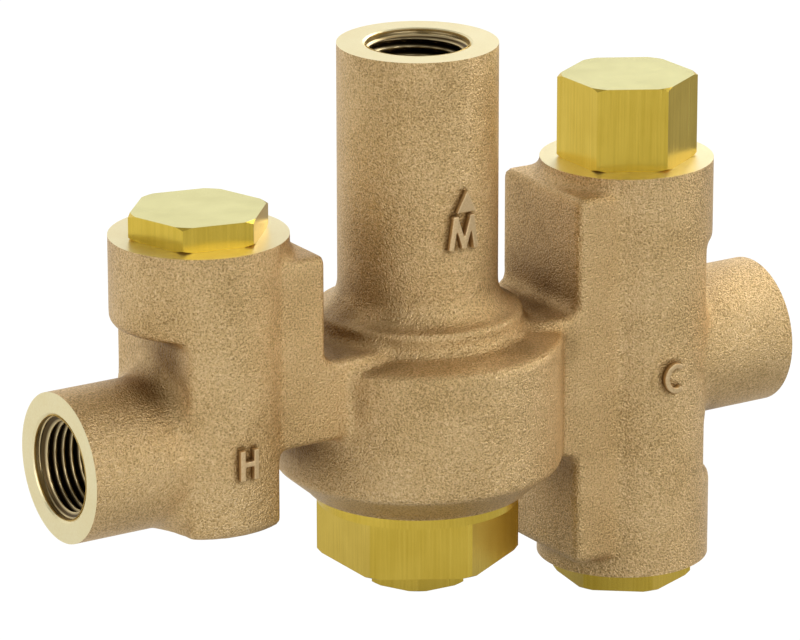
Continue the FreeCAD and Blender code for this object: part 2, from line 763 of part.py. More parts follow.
# The adjusting stem, with its seal and retaining ring.
ring_room = "( ring_thickness + 2 * running_gap )"
seal_level = "guide_floor - stem_radius * 3 / 4"
seal_room = "( stem_oring_section + seal_gap )"
collar_foot = "guide_floor + running_gap"
collar_top = collar_foot + " + stem_collar_height"
stem_blank = turned("stem_blank", [
    (0, "stem_end"), ("stem_end_radius", "stem_end"), ("stem_end_radius", "bonnet_foot"),
    ("stem_radius", "bonnet_foot"), ("stem_radius", "gland_foot - " + ring_room),
    ("stem_ring_groove", "gland_foot - " + ring_room), ("stem_ring_groove", "gland_foot"),
    ("stem_radius", "gland_foot"), ("stem_radius", seal_level + " - " + seal_room),
    ("stem_groove_radius", seal_level + " - " + seal_room),
    ("stem_groove_radius", seal_level + " + " + seal_room),
    ("stem_radius", seal_level + " + " + seal_room), ("stem_radius", collar_foot),
    ("stem_collar_radius", collar_foot), ("stem_collar_radius", collar_top),
    ("stem_thread_radius", collar_top), ("stem_thread_radius", "stem_top"), (0, "stem_top"),
])
finished(cut("adjusting_stem", stem_blank, box(
    "stem_slot", "-1 * stem_radius", "stem_radius", "slot_width / 2",
    "stem_end - slot_width", "stem_end + slot_depth")), "adjusting_stem")
finished(ring("stem_oring", "stem_radius - stem_oring_section", "stem_oring_section", 0,
              seal_level), "stem_oring")


def split_ring(label, bore, radius, foot, thickness):
    """A retaining ring with the gap that lets it spring into its groove."""
    whole = turned(label + "_ring", [
        (bore, foot), (radius, foot), (radius, foot + " + " + thickness),
        (bore, foot + " + " + thickness)])
    gap = box(label + "_gap", 0, radius + " + " + thickness, "ring_gap / 2",
              foot + " - " + thickness, foot + " + 2 * " + thickness)
    return finished(cut(label, whole, gap), label)


split_ring("stem_ring", "stem_ring_groove + running_gap", "stem_ring_radius",
           "gland_foot - ring_thickness - running_gap", "ring_thickness")

# The carrier that the stem raises and lowers, with the overtravel plunger inside it.
cup_floor = "carrier_foot + carrier_nut_height"
plate_top = "plunger_top - plunger_button"
plate_foot = plate_top + " - plunger_plate"
carrier_space = turned("carrier_space", [
    (0, "carrier_foot - ring_thickness"),
    ("stem_thread_radius + thread_gap", "carrier_foot - ring_thickness"),
    ("stem_thread_radius + thread_gap", cup_floor), ("carrier_cup_radius", cup_floor),
    ("carrier_cup_radius", plate_top), ("plunger_ring_radius + running_gap", plate_top),
    ("plunger_ring_radius + running_gap", plate_top + " + " + ring_room),
    ("carrier_cup_radius", plate_top + " + " + ring_room),
    ("carrier_cup_radius", "carrier_top + ring_thickness"),
    (0, "carrier_top + ring_thickness"),
])
finished(cut("stem_carrier", hexagon(
    "carrier_bar", "guide_across_flats", "carrier_top - carrier_foot", "bonnet_angle",
    0, "carrier_foot"), carrier_space), "stem_carrier")
split_ring("plunger_ring", "plunger_button_radius + sliding_gap", "plunger_ring_radius",
           plate_top + " + running_gap", "ring_thickness")
hub_radius = "overtravel_spring_radius - overtravel_spring_wire - seal_gap"
finished(turned("overtravel_plunger", [
    (0, plate_foot + " - plunger_button"), (hub_radius, plate_foot + " - plunger_button"),
    (hub_radius, plate_foot), ("carrier_cup_radius - sliding_gap", plate_foot),
    ("carrier_cup_radius - sliding_gap", plate_top), ("plunger_button_radius", plate_top),
    ("plunger_button_radius", "plunger_top"), (0, "plunger_top"),
]), "overtravel_plunger")
spring("overtravel_spring", "overtravel_spring_radius", "overtravel_spring_wire",
       cup_floor, plate_foot, "overtravel_spring_turns")
finished(cylinder("element_rod", "rod_radius", "rod_top - plunger_top", 0, "plunger_top"),
         "element_rod")

# The sealed element, its clip, and the shuttle that it carries.
cup_top = "web_half_height + element_flange_height + element_cup_height"
clip_foot = "-1 * web_half_height - clip_thickness - running_gap"
element = turned("element_capsule", [
    ("rod_radius + running_gap", "element_foot"), ("element_guide_radius", "element_foot"),
    ("element_guide_radius", clip_foot + " - running_gap"),
    ("clip_groove_radius", clip_foot + " - running_gap"),
    ("clip_groove_radius", "-1 * web_half_height"),
    ("element_neck_radius", "-1 * web_half_height"), ("element_neck_radius", "web_half_height"),
    ("element_flange_radius", "web_half_height"),
    ("element_flange_radius", "web_half_height + element_flange_height"),
    ("element_cup_radius", "web_half_height + element_flange_height"),
    ("element_cup_radius", cup_top), (0, cup_top),
    (0, "element_bore_top"), ("rod_radius + running_gap", "element_bore_top"),
])
finished(round_corners(element, [10], "element_dome"), "element_capsule")
split_ring("element_clip", "clip_groove_radius + running_gap", "clip_radius", clip_foot,
           "clip_thickness")

sleeve = "land_radius - sliding_gap"
groove_middle = "( land_foot + land_top ) / 2"
groove_half = "( shuttle_oring_section + seal_gap )"
hub_bore = "element_neck_radius + running_gap"
shuttle_blank = turned("shuttle_blank", [
    (hub_bore, "-1 * web_half_height"), ("shuttle_bore", "-1 * web_half_height"),
    ("shuttle_bore", "shuttle_foot"), (sleeve, "shuttle_foot"),
    (sleeve, groove_middle + " - " + groove_half),
    ("shuttle_groove_radius", groove_middle + " - " + groove_half),
    ("shuttle_groove_radius", groove_middle + " + " + groove_half),
    (sleeve, groove_middle + " + " + groove_half), (sleeve, "shuttle_top"),
    ("shuttle_bore", "shuttle_top"), ("shuttle_bore", "web_half_height"),
    (hub_bore, "web_half_height"),
])
WEB_HOLES = 8
web_holes = []
for number in range(WEB_HOLES):
    turn_to = "%g" % (360 * number / WEB_HOLES)
    web_holes.append(cylinder(
        "web_hole_%d" % (number + 1), "web_hole_radius", "4 * web_half_height",
        "web_hole_circle * cos(%s deg)" % turn_to, "-2 * web_half_height",
        y="web_hole_circle * sin(%s deg)" % turn_to))
finished(cut("mixing_shuttle", shuttle_blank, joined("web_holes", web_holes)), "mixing_shuttle")
finished(ring("shuttle_oring", "land_radius - shuttle_oring_section - running_gap",
              "shuttle_oring_section", 0, groove_middle), "shuttle_oring")
spring("return_spring", "return_spring_radius", "return_spring_wire", "web_half_height",
       "spring_shoulder", "return_spring_turns")

doc.recompute()
for thing in doc.Objects:
    if "Invalid" in thing.State or "Error" in thing.State:
        raise RuntimeError("%s did not build: %s" % (thing.Name, thing.State))
for piece in FINISHED:
    if piece.Shape.isNull() or not piece.Shape.isValid() or piece.Shape.Volume <= 0:
        raise RuntimeError("%s has no sound shape" % piece.Label)

os.makedirs("parts", exist_ok=True)
for piece in FINISHED:
    piece.Shape.exportStep(os.path.join("parts", piece.Label + ".step"))
print("%d pieces written" % len(FINISHED))
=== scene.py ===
import json
import math

import bmesh
import bpy
import numpy as np
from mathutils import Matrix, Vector


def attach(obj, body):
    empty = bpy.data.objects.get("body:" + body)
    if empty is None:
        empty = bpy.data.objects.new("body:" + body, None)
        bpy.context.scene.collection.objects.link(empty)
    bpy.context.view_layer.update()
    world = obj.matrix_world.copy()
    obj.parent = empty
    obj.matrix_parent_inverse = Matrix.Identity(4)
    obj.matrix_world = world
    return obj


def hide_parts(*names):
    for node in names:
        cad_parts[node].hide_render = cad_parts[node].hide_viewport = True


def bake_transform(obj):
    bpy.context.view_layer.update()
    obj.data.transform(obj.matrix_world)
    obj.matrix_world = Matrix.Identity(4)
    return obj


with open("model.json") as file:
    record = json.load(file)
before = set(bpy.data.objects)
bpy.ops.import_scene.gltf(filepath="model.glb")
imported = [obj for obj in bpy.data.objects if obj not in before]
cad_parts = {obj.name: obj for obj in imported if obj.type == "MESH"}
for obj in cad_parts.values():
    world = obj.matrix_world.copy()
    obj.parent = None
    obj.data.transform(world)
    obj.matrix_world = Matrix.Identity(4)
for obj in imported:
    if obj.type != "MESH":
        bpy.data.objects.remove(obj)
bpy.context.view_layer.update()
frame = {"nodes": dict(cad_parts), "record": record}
nodes = frame["nodes"]
scene = bpy.context.scene

# The camera stands well back with a long lens, a little above the valve and to the left of its
# front, where the photograph was taken.
VIEW_AZIMUTH = math.radians(-32.36)
VIEW_ELEVATION = math.radians(18.11)
VIEW_DISTANCE = 1.1302
VIEW_TARGET = Vector((0, 0, -0.0625))
VIEW_LENS = 247.5
VIEW_SHIFT = (-0.02198, 0.01981)

view_back = Vector((math.sin(VIEW_AZIMUTH) * math.cos(VIEW_ELEVATION),
                    -math.cos(VIEW_AZIMUTH) * math.cos(VIEW_ELEVATION),
                    math.sin(VIEW_ELEVATION)))
camera_data = bpy.data.cameras.new("camera")
camera_data.sensor_width = 36
camera_data.lens = VIEW_LENS
camera_data.shift_x, camera_data.shift_y = VIEW_SHIFT
camera_data.clip_start = 0.05
camera_data.clip_end = 20
camera = bpy.data.objects.new("camera", camera_data)
scene.collection.objects.link(camera)
camera.location = VIEW_TARGET + view_back * VIEW_DISTANCE
camera.rotation_euler = (-view_back).to_track_quat("-Z", "Y").to_euler()
scene.camera = camera
scene.view_settings.view_transform = "Standard"

# The light tent: a white sheet behind, a dim room elsewhere with a pale ceiling, and soft boxes
# on stands. Where the table ends, the camera sees one pale even tone.
ROOM_DARK = 0.05
ROOM_CEILING = 0.50
ROOM_BACK = 1.12
CEILING_RISE = (0.60, 0.90)
BACK_RISE = (0.35, 0.80)
BACKDROP_SEEN = 1.03
TENT_MIDDLE = Vector((0, 0, -0.065))
BOX_DISTANCE = 1.2
SOFT_BOXES = (
    # name, azimuth from the front and elevation in degrees, width and height, watts
    ("front_box", 0, 10, (1.00, 0.42), 3.5),
    ("left_box", -90, 10, (1.00, 0.42), 2.6),
    ("front_right_box", 45, 35, (0.80, 0.63), 4.4),
    ("right_box", 88, 6, (0.50, 0.36), 2.4),
    ("back_right_box", 120, 35, (0.60, 0.60), 4.2),
)


def feed(tree, source, target):
    """Gives a node's input another node's output to read, or a plain value."""
    if isinstance(source, bpy.types.NodeSocket):
        tree.links.new(source, target)
    else:
        target.default_value = source


def math_node(tree, operation, *values):
    """One sum on values that are numbers or sockets."""
    step = tree.nodes.new("ShaderNodeMath")
    step.operation = operation
    for value, target in zip(values, step.inputs):
        feed(tree, value, target)
    return step.outputs[0]


def range_node(tree, value, source, target=(0.0, 1.0), curve="SMOOTHSTEP"):
    """Maps a value from one range to another."""
    step = tree.nodes.new("ShaderNodeMapRange")
    step.interpolation_type = curve
    feed(tree, value, step.inputs["Value"])
    for name, level in zip(("From Min", "From Max", "To Min", "To Max"), (*source, *target)):
        step.inputs[name].default_value = level
    return step.outputs["Result"]


def level_mix(tree, share, first, second):
    """A plain value that goes from the first to the second as the share goes from 0 to 1."""
    step = tree.nodes.new("ShaderNodeMix")
    step.data_type = "FLOAT"
    for value, slot in ((share, 0), (first, 2), (second, 3)):
        feed(tree, value, step.inputs[slot])
    return step.outputs[0]


def shader_mix(tree, share, first, second):
    """One shader at share 0, the other at share 1."""
    step = tree.nodes.new("ShaderNodeMixShader")
    for value, target in zip((share, first, second), step.inputs):
        feed(tree, value, target)
    return step.outputs[0]


world = bpy.data.worlds.new("light_tent")
world.use_nodes = True
scene.world = world
sky = world.node_tree
sky.nodes.clear()
sky_out = sky.nodes.new("ShaderNodeOutputWorld")
sky_room = sky.nodes.new("ShaderNodeBackground")
sky_seen = sky.nodes.new("ShaderNodeBackground")
sky_rays = sky.nodes.new("ShaderNodeLightPath")
sky_where = sky.nodes.new("ShaderNodeTexCoord")
sky_split = sky.nodes.new("ShaderNodeSeparateXYZ")
feed(sky, sky_where.outputs["Generated"], sky_split.inputs[0])
sky_level = math_node(
    sky, "MAXIMUM",
    range_node(sky, sky_split.outputs["Z"], CEILING_RISE, (ROOM_DARK, ROOM_CEILING)),
    range_node(sky, sky_split.outputs["Y"], BACK_RISE, (0.0, ROOM_BACK)))
feed(sky, sky_level, sky_room.inputs["Strength"])
feed(sky, level_mix(sky, sky_rays.outputs["Is Camera Ray"], sky_level, BACKDROP_SEEN),
     sky_seen.inputs["Strength"])
sky_direct = math_node(sky, "MAXIMUM", sky_rays.outputs["Is Camera Ray"],
                       sky_rays.outputs["Is Glossy Ray"])
sky_clear = math_node(sky, "MAXIMUM", sky_direct, sky_rays.outputs["Is Transmission Ray"])
feed(sky, shader_mix(sky, sky_clear, sky_room.outputs[0], sky_seen.outputs[0]),
     sky_out.inputs["Surface"])

for name, azimuth, elevation, size, watts in SOFT_BOXES:
    turn, rise = math.radians(azimuth), math.radians(elevation)
    away = Vector((math.sin(turn) * math.cos(rise), -math.cos(turn) * math.cos(rise), math.sin(rise)))
    box_data = bpy.data.lights.new(name, "AREA")
    box_data.shape = "RECTANGLE"
    box_data.size, box_data.size_y = size
    box_data.energy = watts
    soft_box = bpy.data.objects.new(name, box_data)
    scene.collection.objects.link(soft_box)
    soft_box.location = TENT_MIDDLE + away * BOX_DISTANCE
    soft_box.rotation_euler = (-away).to_track_quat("-Z", "Y").to_euler()

# The table under the valve: a wide pale sheet, seen as white, that keeps a faint shadow. What
# the metal mirrors of it is a dimmer glow, with painted light that falls off to the right and a
# painted shadow under the valve.
TABLE_LEVEL = -0.1275
TABLE_REACH = 3.0
TABLE_PAPER = (0.88, 0.88, 0.88, 1)
TABLE_SEEN = 1.05
TABLE_WHITENESS = 0.97
TABLE_MIRRORED = 0.80
MIRRORED_MIDDLE = 0.60
MIRRORED_LEAST = 0.25
MIRRORED_MOST = 0.85
MIRRORED_FALL = (-1.1, 0.3, 0.0)
SHADE_NEAR = 0.015
SHADE_FAR = 0.065
SHADE_DEPTH = 0.30

table_mesh = bpy.data.meshes.new("table")
table_mesh.from_pydata(
    [(x * TABLE_REACH, y * TABLE_REACH, TABLE_LEVEL) for x, y in ((-1, -1), (1, -1), (1, 1), (-1, 1))],
    [], [(0, 1, 2, 3)])
table = bpy.data.objects.new("table", table_mesh)
scene.collection.objects.link(table)
table_look = bpy.data.materials.new("table_paper")
table_look.use_nodes = True
paper = table_look.node_tree
paper.nodes.clear()
paper_out = paper.nodes.new("ShaderNodeOutputMaterial")
paper_matte = paper.nodes.new("ShaderNodeBsdfDiffuse")
paper_matte.inputs["Color"].default_value = TABLE_PAPER
paper_white = paper.nodes.new("ShaderNodeEmission")
paper_rays = paper.nodes.new("ShaderNodeLightPath")
paper_where = paper.nodes.new("ShaderNodeTexCoord")
paper_fall = paper.nodes.new("ShaderNodeVectorMath")
paper_fall.operation = "DOT_PRODUCT"
paper_fall.inputs[1].default_value = MIRRORED_FALL
paper_flat = paper.nodes.new("ShaderNodeVectorMath")
paper_flat.operation = "MULTIPLY"
paper_flat.inputs[1].default_value = (1, 1, 0)
paper_gap = paper.nodes.new("ShaderNodeVectorMath")
paper_gap.operation = "LENGTH"
feed(paper, paper_where.outputs["Object"], paper_fall.inputs[0])
feed(paper, paper_where.outputs["Object"], paper_flat.inputs[0])
feed(paper, paper_flat.outputs[0], paper_gap.inputs[0])
# Painted light: the mirrored glow falls off across the sheet.
paper_level = range_node(paper, paper_fall.outputs["Value"],
                         (MIRRORED_LEAST - MIRRORED_MIDDLE, MIRRORED_MOST - MIRRORED_MIDDLE),
                         (MIRRORED_LEAST, MIRRORED_MOST), "LINEAR")
# Painted shadow: the mirrored glow is darker close under the valve.
paper_shade = range_node(paper, paper_gap.outputs["Value"], (SHADE_NEAR, SHADE_FAR),
                         (SHADE_DEPTH, 1.0))
paper_shaded = math_node(paper, "MULTIPLY", paper_level, paper_shade)
feed(paper, level_mix(paper, paper_rays.outputs["Is Glossy Ray"], TABLE_SEEN, paper_shaded),
     paper_white.inputs["Strength"])
paper_direct = math_node(paper, "MAXIMUM", paper_rays.outputs["Is Camera Ray"],
                         paper_rays.outputs["Is Transmission Ray"])
paper_share = math_node(paper, "MULTIPLY", paper_direct, TABLE_WHITENESS)
paper_glow = math_node(paper, "MULTIPLY_ADD", paper_rays.outputs["Is Glossy Ray"], TABLE_MIRRORED,
                       paper_share)
feed(paper, shader_mix(paper, paper_glow, paper_matte.outputs[0], paper_white.outputs[0]),
     paper_out.inputs["Surface"])
table_mesh.materials.append(table_look)

# The body is one sand casting in bronze, blasted to an even matte grain. Only its pipe ends, the
# tops of its two columns and its seats were turned afterwards, and they are bright and crisp.
FINE_NET = 0.0005
CAST_NET = 0.00076
CAST_BLEND = 0.0012
STUB_DEPTH = 0.0094
STUB_REACH = 0.0060
INLET_LEVEL = -0.0754
INLET_REACH = 0.0842
INLET_RADIUS = 0.0154
INLET_PAST = 0.001
COLUMN_OFFSET = 0.0516
COLUMN_RADIUS = 0.0182
COLUMN_TOP = -0.0319
COLD_FOOT = -0.1191
HOT_FOOT = -0.0910
FOOT_ROUND = 0.0020
FOOT_SPARE = 0.006
FOOT_DROP = 0.012
CHAMBER_RADIUS = 0.0299
CHAMBER_RIM = INLET_LEVEL + 0.0134
CHAMBER_FOOT = -0.0890
CHAMBER_END = -0.0945
SEAT_RADIUS = 0.0226
CONE_FOOT = (0.0227, -0.0946)
CONE_TRIM = 0.0003
CORE_RADIUS = 0.012
COLLAR_RADIUS = 0.0216
COLLAR_FOOT = INLET_LEVEL + 0.0155
COLLAR_RIM = INLET_LEVEL + 0.0199
RIM_ROUND = 0.0005
TUBE_RADIUS = 0.0165
COVE_WIDTH = COLLAR_RADIUS - TUBE_RADIUS - RIM_ROUND
COVE_HEIGHT = 0.0056
SAME_CORNER = 1e-7
OPENINGS = (
    # the way it faces, a point on its axis at its face, radius of metal
    ((0, 0, 1), (0, 0, 0), TUBE_RADIUS),
    ((-1, 0, 0), (-INLET_REACH, 0, INLET_LEVEL), INLET_RADIUS),
    ((1, 0, 0), (INLET_REACH, 0, INLET_LEVEL), INLET_RADIUS),
    ((0, 0, 1), (-COLUMN_OFFSET, 0, COLUMN_TOP), COLUMN_RADIUS),
    ((0, 0, 1), (COLUMN_OFFSET, 0, COLUMN_TOP), COLUMN_RADIUS),
    ((0, 0, -1), (COLUMN_OFFSET, 0, COLD_FOOT), COLUMN_RADIUS),
    ((0, 0, -1), (0, 0, CHAMBER_END), SEAT_RADIUS),
)


def mesh_piece(name, points, faces):
    """A new piece from an array of corners and an array of faces."""
    mesh = bpy.data.meshes.new(name)
    mesh.from_pydata(np.asarray(points, float).tolist(), [], [list(map(int, face)) for face in faces])
    mesh.validate()
    piece = bpy.data.objects.new(name, mesh)
    scene.collection.objects.link(piece)
    return piece


def tidied(piece):
    """Merges corners that lie in one place, and turns all the faces outwards."""
    work = bmesh.new()
    work.from_mesh(piece.data)
    bmesh.ops.remove_doubles(work, verts=work.verts, dist=SAME_CORNER)
    bmesh.ops.recalc_face_normals(work, faces=work.faces)
    work.to_mesh(piece.data)
    work.free()
    return piece


def corners_of(piece):
    """Where a piece's corners are, a row for each."""
    flat = np.empty(len(piece.data.vertices) * 3)
    piece.data.vertices.foreach_get("co", flat)
    return flat.reshape(-1, 3)


def store(piece, name, values):
    """Keeps a number for each corner of a piece as an attribute that its look can read."""
    attribute = piece.data.attributes.new(name, "FLOAT", "POINT")
    attribute.data.foreach_set("value", values.astype(np.float32))


def turned_piece(name, profile, along=(0, 0, 1), start=(0, 0, 0), around=96):
    """A turned solid. A profile point (r, h) swung by angle t lies at start + h * along
    + r * (cos t * side + sin t * other), where side and other are square to along."""
    axis = Vector(along).normalized()
    side = axis.orthogonal().normalized()
    other = axis.cross(side)
    radius, height = np.array(profile, float).T
    swing = np.linspace(0, 2 * math.pi, around, endpoint=False)
    ring = np.outer(np.cos(swing), side) + np.outer(np.sin(swing), other)
    points = (np.array(start) + height[:, None, None] * np.array(axis)
              + radius[:, None, None] * ring[None, :, :]).reshape(-1, 3)
    row, column = np.meshgrid(np.arange(len(profile) - 1), np.arange(around), indexing="ij")
    after = (column + 1) % around
    faces = np.stack([row * around + column, row * around + after,
                      (row + 1) * around + after, (row + 1) * around + column], -1).reshape(-1, 4)
    return tidied(mesh_piece(name, points, faces))


def plug(name, axis, face, radius, low, high):
    """A plain cylinder between two distances along an opening's axis from its face."""
    return turned_piece(name, [(0, low), (radius, low), (radius, high), (0, high)], axis, face)


def settled(piece):
    """Applies a piece's modifiers."""
    bpy.context.view_layer.update()
    applied = bpy.data.meshes.new_from_object(
        piece.evaluated_get(bpy.context.evaluated_depsgraph_get()))
    piece.modifiers.clear()
    old = piece.data
    piece.data = applied
    bpy.data.meshes.remove(old)
    return piece


def combined(piece, tool, operation):
    """Adds or cuts away one closed solid, and uses it up."""
    step = piece.modifiers.new(operation, "BOOLEAN")
    step.operation = operation
    step.solver = "MANIFOLD"
    step.object = tool
    settled(piece)
    bpy.data.objects.remove(tool)
    return piece


def duplicate(piece, name):
    """A bare copy of a piece under another name."""
    copy = bpy.data.objects.new(name, piece.data.copy())
    copy.data.materials.clear()
    scene.collection.objects.link(copy)
    return copy


def recast(piece, voxel, swell=0.0):
    """Covers a solid with an even net at a voxel's spacing, then swells or shrinks it."""
    net = piece.modifiers.new("net", "REMESH")
    net.mode = "VOXEL"
    net.voxel_size = voxel
    net.use_smooth_shade = True
    if swell:
        move = piece.modifiers.new("swell", "DISPLACE")
        move.direction = "NORMAL"
        move.mid_level = 0
        move.strength = swell
    return settled(piece)


def loose_parts(piece):
    """The separate closed shells of a piece, largest first, as lists of faces."""
    work = bmesh.new()
    work.from_mesh(piece.data)
    waiting = set(work.faces)
    parts = []
    while waiting:
        part, edge = [], [waiting.pop()]
        while edge:
            face = edge.pop()
            part.append(face.index)
            for side in face.edges:
                for other in side.link_faces:
                    if other in waiting:
                        waiting.remove(other)
                        edge.append(other)
        parts.append(part)
    work.free()
    return sorted(parts, key=len, reverse=True)


def shell_of(piece, name, faces, inward=False):
    """One shell of a piece as a piece of its own, turned inside out if asked."""
    work = bmesh.new()
    work.from_mesh(piece.data)
    work.faces.ensure_lookup_table()
    keep = set(faces)
    bmesh.ops.delete(work, geom=[face for face in work.faces if face.index not in keep],
                     context="FACES")
    if inward:
        bmesh.ops.reverse_faces(work, faces=work.faces)
    mesh = bpy.data.meshes.new(name)
    work.to_mesh(mesh)
    work.free()
    shell = bpy.data.objects.new(name, mesh)
    scene.collection.objects.link(shell)
    return shell


def reach(piece, faces):
    """The diagonal of the box round some of a piece's faces."""
    used = np.unique(np.concatenate([piece.data.polygons[face].vertices[:] for face in faces]))
    spots = corners_of(piece)[used]
    return float(np.linalg.norm(spots.max(0) - spots.min(0)))


def mouth_radius(piece, axis, face, radius, past=0.001, near=1e-5):
    """The radius of an opening's inner edge: the least distance from its axis of any corner
    that lies on its face and not far outside its metal."""
    offset = corners_of(piece) - np.array(face)
    along = offset @ np.array(axis, float)
    away = np.linalg.norm(offset - along[:, None] * np.array(axis, float), axis=1)
    return float(away[(np.abs(along) < near) & (away < radius + past)].min())


def hidden_sky(piece, patches=4000, nearest=0.0022, fade=0.010, largest=0.02, rows=2000):
    """Stores how much of the sky above each corner is hidden close by. It sums, over patches of
    the surface, area x cosine here x cosine there / (pi x distance squared). A patch counts less
    the further off it is, by e to the minus distance / fade, and never more than the largest."""
    mesh = piece.data
    sides = len(mesh.polygons)
    centre, facing, area = np.empty(sides * 3), np.empty(sides * 3), np.empty(sides)
    mesh.polygons.foreach_get("center", centre)
    mesh.polygons.foreach_get("normal", facing)
    mesh.polygons.foreach_get("area", area)
    pick = np.random.default_rng(4).choice(sides, patches, p=area / area.sum())
    centre, facing = centre.reshape(-1, 3)[pick], facing.reshape(-1, 3)[pick]
    share = area.sum() / patches
    corners, normals = corners_of(piece), np.empty(len(mesh.vertices) * 3)
    mesh.vertex_normals.foreach_get("vector", normals)
    normals = normals.reshape(-1, 3)
    hidden = []
    for start in range(0, len(corners), rows):
        here, up = corners[start:start + rows], normals[start:start + rows]
        toward = up @ centre.T - (up * here).sum(1)[:, None]
        back = (facing * centre).sum(1)[None, :] - here @ facing.T
        square = ((here ** 2).sum(1)[:, None] + (centre ** 2).sum(1)[None, :] - 2 * here @ centre.T)
        square = np.maximum(square, nearest ** 2)
        seen = np.maximum(toward, 0) * np.maximum(-back, 0) / (math.pi * square ** 2)
        seen = seen * np.exp(-np.sqrt(square) / fade)
        hidden.append(np.minimum(seen, largest / share).sum(1) * share)
    store(piece, "hidden_sky", np.clip(np.concatenate(hidden), 0, 1))


machined = tidied(duplicate(nodes["valve_body"], "machined_body"))
closed_body = duplicate(machined, "closed_body")
for axis, face, radius in OPENINGS:
    combined(closed_body, plug("stub", axis, face, radius, -STUB_DEPTH, STUB_REACH), "UNION")
shells = sorted(loose_parts(closed_body), key=lambda faces: reach(closed_body, faces), reverse=True)
body_skin = shell_of(closed_body, "cast_body", shells[0])
water_ways = [shell_of(closed_body, "water_way", faces, inward=True) for faces in shells[1:]]
bpy.data.objects.remove(closed_body)

# The hot column ends in a rounded foot level with the underside of its boss.
turn = np.radians(np.linspace(0, 90, 7))
foot_profile = [(0, HOT_FOOT), *zip(COLUMN_RADIUS - FOOT_ROUND + FOOT_ROUND * np.sin(turn),
                                    HOT_FOOT + FOOT_ROUND - FOOT_ROUND * np.cos(turn)),
                (COLUMN_RADIUS + FOOT_SPARE, HOT_FOOT + FOOT_ROUND),
                (COLUMN_RADIUS + FOOT_SPARE, HOT_FOOT - FOOT_DROP), (0, HOT_FOOT - FOOT_DROP)]
combined(body_skin, turned_piece("foot_trim", foot_profile, start=(-COLUMN_OFFSET, 0, 0)), "DIFFERENCE")
combined(body_skin, plug("hot_boss", (-1, 0, 0), (-INLET_REACH, 0, INLET_LEVEL), INLET_RADIUS,
                         COLUMN_OFFSET - INLET_REACH, INLET_PAST), "UNION")

# The chamber and its collar have crisp rims, a cove runs from the collar's rim up the tube, and
# the chamber's side ends below in a crisp rim over a cone.
turn = np.radians(np.linspace(90, 0, 10))
chamber_edge = [CONE_FOOT, (CHAMBER_RADIUS - RIM_ROUND, CHAMBER_FOOT),
                (CHAMBER_RADIUS, CHAMBER_FOOT + RIM_ROUND)]
rim_profile = [(CORE_RADIUS, CONE_FOOT[1]), *chamber_edge,
               (CHAMBER_RADIUS, CHAMBER_RIM - RIM_ROUND), (CHAMBER_RADIUS - RIM_ROUND, CHAMBER_RIM),
               (COLLAR_RADIUS, COLLAR_FOOT), (COLLAR_RADIUS, COLLAR_RIM - RIM_ROUND),
               (COLLAR_RADIUS - RIM_ROUND, COLLAR_RIM),
               *zip(TUBE_RADIUS + COVE_WIDTH * (1 - np.cos(turn)),
                    COLLAR_RIM + COVE_HEIGHT * (1 - np.sin(turn))),
               (CORE_RADIUS, COLLAR_RIM + COVE_HEIGHT), (CORE_RADIUS, CONE_FOOT[1])]
cone_profile = [*chamber_edge, (CHAMBER_RADIUS + CONE_TRIM, CHAMBER_FOOT + RIM_ROUND),
                (CHAMBER_RADIUS + CONE_TRIM, CONE_FOOT[1]), CONE_FOOT]
combined(body_skin, turned_piece("crisp_rims", rim_profile), "UNION")
combined(body_skin, turned_piece("cone_trim", cone_profile), "DIFFERENCE")
recast(body_skin, FINE_NET, CAST_BLEND)
recast(body_skin, FINE_NET, -CAST_BLEND)
recast(body_skin, CAST_NET)

# Blasted grain: small rounded pits and crumbs a third of a millimetre across, over slower
# waves in the metal. It gives a height for the bump, and the crumbs and patches for the tone.
GRAINS_PER_METRE = 2600.0
WAVES_PER_METRE = 420.0
PATCHES_PER_METRE = 60.0
WAVES_SHARE = 0.5
PATCH_SHIFT = 0.35
CAST_STOPS = (0.30, 0.50, 0.70)
CAST_DARK = (0.46, 0.295, 0.115)
CAST_MIDDLE = (0.77, 0.53, 0.245)
CAST_LIGHT = (0.95, 0.70, 0.38)
CAST_SHINE = 0.35
# Painted shade: the cast colour is multiplied towards this tint where much sky is hidden close by.
PAINTED_SHADE_TINT = (0.34, 0.27, 0.17, 1)
PAINTED_SHADE_RANGE = (0.02, 0.26)
PAINTED_SHADE_MOST = 0.95


def new_look(name):
    """An empty material and its tree, with one Principled surface."""
    look = bpy.data.materials.new(name)
    look.use_nodes = True
    tree = look.node_tree
    return look, tree, tree.nodes["Principled BSDF"]


def group_socket(tree, name, kind, value=None, output=False):
    """A named input or output of a node group."""
    socket = tree.interface.new_socket(name, in_out="OUTPUT" if output else "INPUT", socket_type=kind)
    if value is not None:
        socket.default_value = value


def placed_group(tree, group):
    """A node group's place in a material."""
    placed = tree.nodes.new("ShaderNodeGroup")
    placed.node_tree = group
    return placed


def noise_node(tree, where, scale, detail):
    """Soft random noise over a place, at so many waves to the metre."""
    noise = tree.nodes.new("ShaderNodeTexNoise")
    noise.inputs["Detail"].default_value = detail
    feed(tree, scale, noise.inputs["Scale"])
    feed(tree, where, noise.inputs["Vector"])
    return noise


def ramp_node(tree, value, *stops):
    """A colour that runs through the stops, each a level of the value and its colour."""
    ramp = tree.nodes.new("ShaderNodeValToRGB")
    ends = ramp.color_ramp.elements
    for end, (level, colour) in ((ends[0], stops[0]), (ends[1], stops[-1])):
        end.position = level
        end.color = (*colour, 1)
    for level, colour in stops[1:-1]:
        ends.new(level).color = (*colour, 1)
    feed(tree, value, ramp.inputs["Fac"])
    return ramp.outputs["Color"]


def colour_mix(tree, share, first, second, blend="MIX"):
    """The first colour at share 0, and at share 1 the second, or the two multiplied."""
    step = tree.nodes.new("ShaderNodeMix")
    step.data_type = "RGBA"
    step.blend_type = blend
    for value, slot in ((share, 0), (first, 6), (second, 7)):
        feed(tree, value, step.inputs[slot])
    return step.outputs[2]


